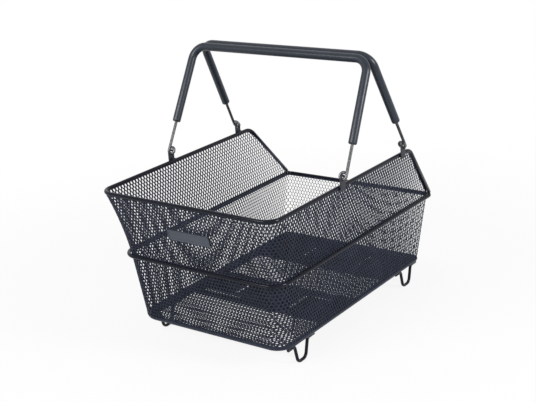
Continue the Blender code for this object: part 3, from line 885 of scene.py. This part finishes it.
def build_weld(name, start, end, radius, material):
    """A rippled bead of weld from one point to another, thin at its ends."""
    points = [blend(start, end, step / WELD_STEPS) for step in range(WELD_STEPS + 1)]
    rings = []
    for step, place in enumerate(path_frames(points)):
        swell = math.sqrt(max(1 - (2 * step / WELD_STEPS - 1) ** 2, WELD_END_SHARE))
        ripple = 1 + WELD_RIPPLE * math.cos(WELD_RIPPLE_TURN * step)
        rings.append((place, radius * swell * ripple))
    add_piece(name, skin(name, rings, WELD_SIDES), material, "basket", "wire_coat")


def build_tab_welds(name, side, pivot_y, material):
    """Two beads between a tab and the rim, above and below the rim's outermost line."""
    x = side * (TAB_SIDE - TAB_THICKNESS / 2 - WELD_RADIUS / 2)
    half = TAB_RADIUS + WELD_OVERRUN
    for word, way in (("top", 1), ("under", -1)):
        z = RIM_HEIGHT + way * WELD_SEAT * RIM_WIRE
        ends = [Vector((x, pivot_y + along, z)) for along in (-half, half)]
        build_weld(f"{name}_{word}_weld", *ends, WELD_RADIUS, material)


def build_slope_weld(name, side, material):
    """The bead on the ring at the foot of a sloping wire."""
    foot = slope_foot()
    landing = math.radians(SLOPE_LANDING)
    along = Vector((-math.sin(landing), math.cos(landing), 0)) * RIM_WIRE
    middle = Vector((foot.x, foot.y, RING_HEIGHT + WELD_SEAT * RING_WIRE))
    ends = [middle + along * way for way in (-1, 1)]
    if side < 0:
        ends = [point * MIRROR for point in ends]
    build_weld(name, *ends, SLOPE_WELD_RADIUS, material)


def build_foot_welds(name, x, y, material):
    """Two beads under the floor's edge, along the turned-out ends of a foot."""
    z = BASE_HEIGHT - GAP - WELD_RADIUS / 2
    start = FOOT_TOP_SPREAD / 2 + FOOT_TURN_OUT_BEND
    end = FOOT_TOP_SPREAD / 2 + FOOT_TURN_OUT
    inside = x - math.copysign(FOOT_WIRE / 2, x)
    for word, way in (("front", -1), ("rear", 1)):
        ends = [Vector((inside, y + way * along, z)) for along in (start, end)]
        build_weld(f"{name}_{word}_weld", *ends, WELD_RADIUS, material)


# Tabs, handles and plates


def build_tab(name, side, pivot_y, material):
    """A strap with rolled edges and a round top about its hole."""
    foot = -PIVOT_RISE - TAB_FOOT_DROP
    outline = [(-TAB_RADIUS, foot), (TAB_RADIUS, foot)] + arc(0, 0, TAB_RADIUS, 0, 180, TAB_TOP_STEPS)
    hole = arc(0, 0, TAB_HOLE, 0, 360, TAB_HOLE_STEPS)[:-1]
    curve = bpy.data.curves.new(name, "CURVE")
    curve.dimensions = "2D"
    curve.fill_mode = "BOTH"
    curve.extrude = TAB_THICKNESS / 2 - TAB_ROLLED_EDGE
    curve.bevel_depth = TAB_ROLLED_EDGE
    curve.bevel_resolution = 3
    curve.offset = -TAB_ROLLED_EDGE
    for points in (outline, hole):
        spline = curve.splines.new("POLY")
        spline.points.add(len(points) - 1)
        for slot, (x, y) in zip(spline.points, points):
            slot.co = (x, y, 0, 1)
        spline.use_cyclic_u = True
    turn = Matrix.Rotation(math.pi / 2, 4, "Z") @ Matrix.Rotation(math.pi / 2, 4, "X")
    place = Matrix.Translation((side * TAB_SIDE, pivot_y, PIVOT_HEIGHT)) @ turn
    add_piece(f"{name}_strap", curve, material, "basket", "tab_steel", name, place=place)


def handle_leans():
    """How far the front and rear handles lean inwards, so that their grips lie side by side."""
    spacing = GRIP_DIAMETER + GAP
    tilt = math.radians(GRIP_MEET_TILT)
    across = TAB_SPACING - spacing * math.cos(tilt)
    rise = spacing * math.sin(tilt)
    mean = math.asin(math.hypot(across, rise) / (2 * HANDLE_REACH))
    offset = math.atan2(rise, across)
    return mean + offset, mean - offset


def eye_points(side):
    """The bent eye at the foot of a handle's leg, from its cut end to where the leg starts."""
    mouth = EYE_RADIUS - HANDLE_WIRE / 2 - EYE_MOUTH
    flat = [(mouth, EYE_RISE + EYE_RADIUS)] + arc(0, EYE_RISE, EYE_RADIUS, 90, 360, EYE_STEPS)
    return [Vector((side * (TAB_SIDE + x), 0, z)) for x, z in flat]


def grip(name, path):
    """A tube round the wire, its ends rounded over and its bore open."""
    outer = GRIP_DIAMETER / 2
    bore = HANDLE_WIRE / 2 + GAP
    angles = [math.pi / 2 * step / GRIP_END_STEPS for step in range(GRIP_END_STEPS + 1)]
    depths = [GRIP_ROUND * (1 - math.cos(angle)) for angle in angles]
    lip = [outer - GRIP_ROUND * (1 - math.sin(angle)) for angle in angles]
    start = (path[1] - path[0]).normalized()
    end = (path[-2] - path[-1]).normalized()
    points = [path[0] + start * depth for depth in depths]
    points += path[1:-1]
    points += [path[-1] + end * depth for depth in reversed(depths)]
    frames = path_frames(points)
    radii = lip + [outer] * (len(path) - 2) + lip[::-1]
    bores = [bore + GAP] + [bore] * (len(points) - 2) + [bore + GAP]
    rings = list(zip(frames, radii)) + list(reversed(list(zip(frames, bores))))
    return skin(name, rings, GRIP_SIDES, closed=True)


def build_handle(name, pivot_y, lean, taper, wire_material, grip_material):
    """A bent wire with an eye at each foot, and the grip round its top."""
    turn = Matrix.Translation((0, pivot_y, PIVOT_HEIGHT)) @ Matrix.Rotation(lean, 4, "X")
    leg_foot = Vector((TAB_SIDE + EYE_RADIUS, 0, EYE_RISE))
    leg_top = Vector((TAB_SIDE + EYE_RADIUS - taper, 0, HANDLE_REACH))
    grip_foot = blend(leg_foot, leg_top, (GRIP_START - EYE_RISE) / (HANDLE_REACH - EYE_RISE))
    corners = [(leg_top, HANDLE_BEND), (leg_top * MIRROR, HANDLE_BEND)]

    bail = rounded_path([(leg_foot, 0)] + corners + [(leg_foot * MIRROR, 0)], HANDLE_BEND_STEPS)
    left_eye = list(reversed(eye_points(-1)))
    points = [turn @ point for point in eye_points(1) + bail[1:-1] + left_eye]
    data = wire(f"{name}_bail", points, HANDLE_WIRE)
    add_piece(f"{name}_bail", data, wire_material, name, "handle_steel", f"{name}_wire")

    path = rounded_path([(grip_foot, 0)] + corners + [(grip_foot * MIRROR, 0)], HANDLE_BEND_STEPS)
    data = grip(f"{name}_tube", [turn @ point for point in path])
    add_piece(f"{name}_tube", data, grip_material, name, "grip_rubber", f"{name}_grip")


def build_name_plate(material):
    """A bare plate with a rounded border round its sunk face, flat on the strands of the front wall."""
    height = RIM_HEIGHT - PLATE_DROP
    row = LOWER_ROWS + UPPER_ROWS * (height - RING_HEIGHT) / (WALL_TOP - RING_HEIGHT)
    middle = FRONT_COLUMNS / 2
    across = Vector((1, 0, 0))
    rise = wall_place(middle, row + 1) - wall_place(middle, row - 1)
    outward = across.cross(rise).normalized()
    back = FRONT_STRAND.z / 2
    front = CAD_THICKNESS / 2 + GAP + PLATE_DEPTH
    edge = PLATE_BORDER / 2
    levels = [(PLATE_BACK_EDGE, back), (0.0, back + PLATE_BACK_EDGE)]
    for step in range(PLATE_EDGE_STEPS + 1):
        angle = math.pi / 2 * step / PLATE_EDGE_STEPS
        levels.append((edge * (1 - math.cos(angle)), front - edge * (1 - math.sin(angle))))
    levels += [
        (PLATE_BORDER, front - PLATE_FACE_SOFTENING),
        (PLATE_BORDER + PLATE_FACE_DRAFT, front - PLATE_RECESS + PLATE_FACE_SOFTENING),
        (PLATE_BORDER + 2 * PLATE_FACE_DRAFT, front - PLATE_RECESS),
    ]
    vertices = []
    for inset, level in levels:
        outline = rectangle(PLATE_WIDTH - 2 * inset, PLATE_HEIGHT - 2 * inset, PLATE_CORNER - inset)
        vertices += [(x, y, level) for x, y in outline]
    data = loft("plate", vertices, len(outline))
    turn = Matrix((across, outward.cross(across), outward)).transposed().to_4x4()
    place = Matrix.Translation(wall_place(middle, row)) @ turn
    add_piece("plate", data, material, "basket", "plate_plastic", "name_plate", place=place)


def finish_carrier_plates(material):
    """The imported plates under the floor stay, with softened edges and their own coat."""
    for name in ("front_carrier_plate", "rear_carrier_plate"):
        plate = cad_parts[name]
        plate.data.materials.clear()
        plate.data.materials.append(material)
        bevel = plate.modifiers.new("softened_edges", "BEVEL")
        bevel.width = CARRIER_EDGE
        bevel.segments = 2
        bevel.limit_method = "ANGLE"


# Studio


def add_softbox(name, place, target, size, power):
    """A flat lamp that faces the target."""
    light = bpy.data.lights.new(name, "AREA")
    light.shape = "RECTANGLE"
    light.size, light.size_y = size
    light.energy = power
    lamp = add_object(name, light)
    lamp.location = place
    lamp.rotation_euler = (Vector(target) - Vector(place)).to_track_quat("-Z", "Y").to_euler()


def add_math(tree, operation, first, second):
    node = tree.nodes.new("ShaderNodeMath")
    node.operation = operation
    tree.links.new(first, node.inputs[0])
    tree.links.new(second, node.inputs[1])
    return node.outputs[0]


def seen_directly(tree):
    """1 for rays that the camera, a mirror or glass sends, which see the white studio itself."""
    path = tree.nodes.new("ShaderNodeLightPath")
    clear = add_math(tree, "MAXIMUM", path.outputs["Is Camera Ray"], path.outputs["Is Transmission Ray"])
    return add_math(tree, "MAXIMUM", clear, path.outputs["Is Glossy Ray"])


def make_floor():
    """A plain pale floor that stays near white and keeps a soft shadow."""
    corners = [(x * FLOOR_REACH, y * FLOOR_REACH, 0) for x, y in ((-1, -1), (1, -1), (1, 1), (-1, 1))]
    data = bpy.data.meshes.new("studio_floor")
    data.from_pydata(corners, [], [(0, 1, 2, 3)])
    floor = add_object("studio_floor", data)
    floor.location.z = -FLOOR_DROP
    material = bpy.data.materials.new("studio_floor")
    material.use_nodes = True
    tree = material.node_tree
    paper = tree.nodes["Principled BSDF"]
    paper.inputs["Base Color"].default_value = FLOOR_COLOUR
    paper.inputs["Roughness"].default_value = 0.9
    paper.inputs["Specular IOR Level"].default_value = 0.1
    glow = tree.nodes.new("ShaderNodeEmission")
    glow.inputs["Strength"].default_value = 1.0
    place = tree.nodes.new("ShaderNodeNewGeometry")
    distance = tree.nodes.new("ShaderNodeVectorMath")
    distance.operation = "LENGTH"
    tree.links.new(place.outputs["Position"], distance.inputs[0])
    white = tree.nodes.new("ShaderNodeMapRange")
    white.interpolation_type = "SMOOTHSTEP"
    white.inputs["From Min"].default_value = FLOOR_WHITE_FROM
    white.inputs["From Max"].default_value = FLOOR_WHITE_TO
    white.inputs["To Min"].default_value = FLOOR_WHITE
    white.inputs["To Max"].default_value = 1.0
    tree.links.new(distance.outputs["Value"], white.inputs["Value"])
    share = add_math(tree, "MULTIPLY", seen_directly(tree), white.outputs["Result"])
    both = tree.nodes.new("ShaderNodeMixShader")
    tree.links.new(share, both.inputs["Fac"])
    tree.links.new(paper.outputs[0], both.inputs[1])
    tree.links.new(glow.outputs[0], both.inputs[2])
    tree.links.new(both.outputs[0], tree.nodes["Material Output"].inputs["Surface"])
    data.materials.append(material)


def make_world():
    """White where it is seen, and a plain soft light on the object."""
    world = bpy.data.worlds.new("studio")
    bpy.context.scene.world = world
    world.use_nodes = True
    tree = world.node_tree
    backdrop = tree.nodes["Background"]
    backdrop.inputs["Color"].default_value = (1, 1, 1, 1)
    strength = tree.nodes.new("ShaderNodeMapRange")
    strength.inputs["To Min"].default_value = WORLD_LIGHT
    strength.inputs["To Max"].default_value = 1.0
    tree.links.new(seen_directly(tree), strength.inputs["Value"])
    tree.links.new(strength.outputs["Result"], backdrop.inputs["Strength"])


def make_camera():
    """The camera fitted to the photograph, turned about its own line of sight by its roll."""
    data = bpy.data.cameras.new("photo_camera")
    data.sensor_width = SENSOR_WIDTH
    data.lens = FOCAL_PIXELS / FRAME_WIDTH * SENSOR_WIDTH
    data.clip_start = NEAREST_SEEN
    camera = add_object("photo_camera", data)
    back = -Vector(CAMERA_FORWARD).normalized()
    level = Vector((0, 0, 1)).cross(back).normalized()
    upright = back.cross(level)
    roll = math.radians(CAMERA_ROLL)
    right = level * math.cos(roll) - upright * math.sin(roll)
    up = level * math.sin(roll) + upright * math.cos(roll)
    turn = Matrix((right, up, back)).transposed().to_4x4()
    camera.matrix_world = Matrix.Translation(CAMERA_PLACE) @ turn
    bpy.context.scene.camera = camera


def make_studio():
    make_floor()
    make_world()
    make_camera()
    left = {"place": (-0.33, -1.94, 1.20), "target": (0, 0, 0.2), "size": (1.5, 0.5), "power": 32}
    right = {"place": (2.25, 0.05, 1.05), "target": (0, 0, 0.15), "size": (0.6, 0.8), "power": 39}
    add_softbox("left_softbox", **left)
    add_softbox("right_softbox", **right)
    bpy.context.scene.view_settings.view_transform = "Standard"


def main():
    mesh_coat = powder_coat(
        "mesh_coat",
        dark=(0.0118, 0.0152, 0.0266),
        light=(0.0222, 0.0275, 0.0456),
        rough=(0.36, 0.52),
        grain=0.00006,
        shine=0.12,
    )
    wire_coat = powder_coat(
        "wire_coat",
        dark=(0.0020, 0.0028, 0.0076),
        light=(0.0040, 0.0052, 0.0130),
        rough=(0.09, 0.14),
        grain=0.00002,
        shine=0.17,
    )
    carrier_coat = powder_coat(
        "carrier_coat",
        dark=(0.009, 0.011, 0.017),
        light=(0.016, 0.019, 0.028),
        rough=(0.45, 0.60),
        grain=0.00006,
        shine=0.16,
    )
    front_steel = wire_steel(
        "front_handle_steel",
        dark=(0.050, 0.052, 0.055),
        light=(0.105, 0.108, 0.113),
        wear_and_highlight=(0.12, 0.123, 0.13),
        pivot_y=FRONT_PIVOT_Y,
    )
    # The rear handle's steel is the front's made darker: painted shade on the far handle, with a brighter
    # painted highlight at its eyes.
    rear_steel_painted_shade = wire_steel(
        "rear_handle_steel_painted_shade",
        dark=(0.035, 0.037, 0.042),
        light=(0.075, 0.078, 0.085),
        wear_and_highlight=(0.17, 0.173, 0.18),
        pivot_y=REAR_PIVOT_Y,
    )
    strap = tab_steel(
        "tab_steel",
        dark=(0.010, 0.012, 0.018),
        light=(0.018, 0.021, 0.030),
        wear_and_highlight=(0.05, 0.053, 0.06),
    )
    vinyl = grip_vinyl("grip_vinyl", dark=(0.0085, 0.0130, 0.0215), light=(0.0140, 0.0196, 0.0310))
    plastic = moulded_plastic("plate_plastic", dark=(0.026, 0.033, 0.050), light=(0.037, 0.045, 0.065))

    build_tub(mesh_coat)
    build_rim(wire_coat)
    build_ring(wire_coat)
    base = station(-1)
    foot_side = base.side - FOOT_SIDE_INSET
    ends = (
        ("front", base.front + FRONT_FOOT_INSET, FRONT_PIVOT_Y),
        ("rear", base.rear - REAR_FOOT_INSET, REAR_PIVOT_Y),
    )
    for end, foot_y, pivot_y in ends:
        for word, side in (("left", -1), ("right", 1)):
            build_foot(f"{end}_{word}_foot", side * foot_side, foot_y, wire_coat)
            build_foot_welds(f"{end}_{word}_foot", side * foot_side, foot_y, wire_coat)
            build_tab(f"{end}_{word}_tab", side, pivot_y, strap)
            build_tab_welds(f"{end}_{word}_tab", side, pivot_y, wire_coat)
    for word, side in (("left", -1), ("right", 1)):
        build_slope_weld(f"{word}_slope_weld", side, wire_coat)
    front_lean, rear_lean = handle_leans()
    build_handle("front_handle", FRONT_PIVOT_Y, -front_lean, FRONT_HANDLE_TAPER, front_steel, vinyl)
    build_handle("rear_handle", REAR_PIVOT_Y, rear_lean, REAR_HANDLE_TAPER, rear_steel_painted_shade, vinyl)
    build_name_plate(plastic)
    finish_carrier_plates(carrier_coat)
    make_studio()


main()
